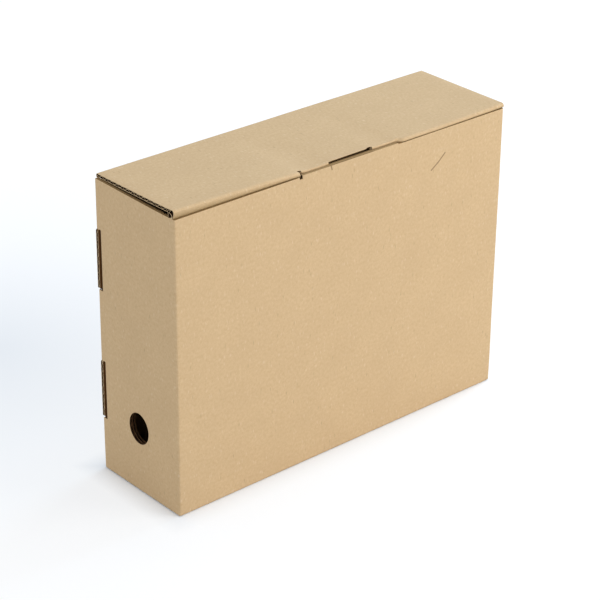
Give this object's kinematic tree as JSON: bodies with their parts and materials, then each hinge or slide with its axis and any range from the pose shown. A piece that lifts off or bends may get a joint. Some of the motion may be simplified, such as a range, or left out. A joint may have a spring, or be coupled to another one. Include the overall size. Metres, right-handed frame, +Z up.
{
  "type": "cardboard archive box",
  "caption": "Closed corrugated cardboard archive box with a hinged tuck-in lid, a front lock, corner tabs in notches and a finger hole in one end.",
  "frame": {"origin": "middle of the underside, where the box stands", "axes": "+X along the box to the end without a finger hole, +Y from the front panel to the back panel that carries the lid, +Z up"},
  "size_m": [0.33, 0.095, 0.2493],
  "materials": {
    "kraft_board": "matte",
    "kraft_lid": "matte",
    "kraft_inside": "matte"
  },
  "bodies": {
    "box": {"box_body": "kraft_board"},
    "lid_board": {"lid": "kraft_lid"},
    "tuck_board": {"tuck_flap": "kraft_inside"}
  },
  "joints": [
    {"name": "lid_hinge", "type": "hinge", "parent": "box", "child": "lid_board", "pos_m": [0, 0.046, 0.2478], "axis": [-1, 0, 0], "range_deg": [0, 110]},
    {"name": "tuck_fold", "type": "hinge", "parent": "lid_board", "child": "tuck_board", "pos_m": [0, -0.0418, 0.2444], "axis": [-1, 0, 0], "range_deg": [-77, 0]}
  ],
  "couplings": [
    {"joint": "tuck_fold", "follows": "lid_hinge", "ratio": -0.7}
  ]
}
